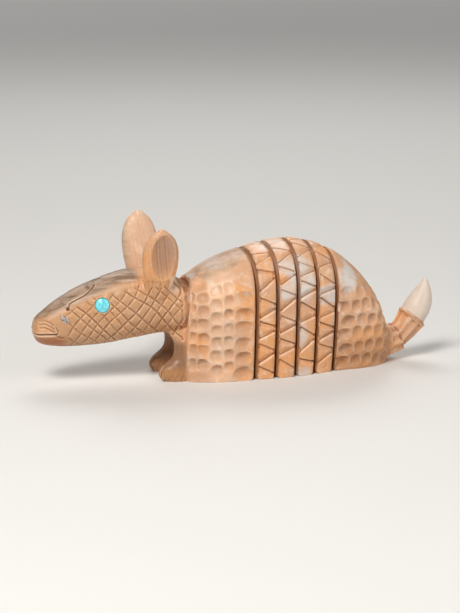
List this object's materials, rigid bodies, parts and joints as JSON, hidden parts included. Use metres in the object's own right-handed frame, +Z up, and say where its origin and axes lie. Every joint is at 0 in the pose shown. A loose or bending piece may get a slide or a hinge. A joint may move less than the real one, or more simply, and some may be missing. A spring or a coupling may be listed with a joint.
{
  "type": "carved stone armadillo",
  "caption": "Carved stone armadillo figurine with tall ears, banded and dimpled shell, stepped tail and inlaid turquoise eyes; stands on its flat ground base.",
  "frame": {"origin": "on the ground under the middle of the overall length, in the plane of symmetry of the animal", "axes": "+Z up, -X the way the animal faces, -Y its left side"},
  "size_m": [0.0908, 0.022, 0.0353],
  "materials": {
    "banded_stone": "peach-orange veined travertine or alabaster, satin polish",
    "turquoise": "bright blue turquoise, polished"
  },
  "bodies": {
    "root": {"stone_carving": "banded_stone", "left_eye": "turquoise", "right_eye": "turquoise"}
  },
  "joints": []
}
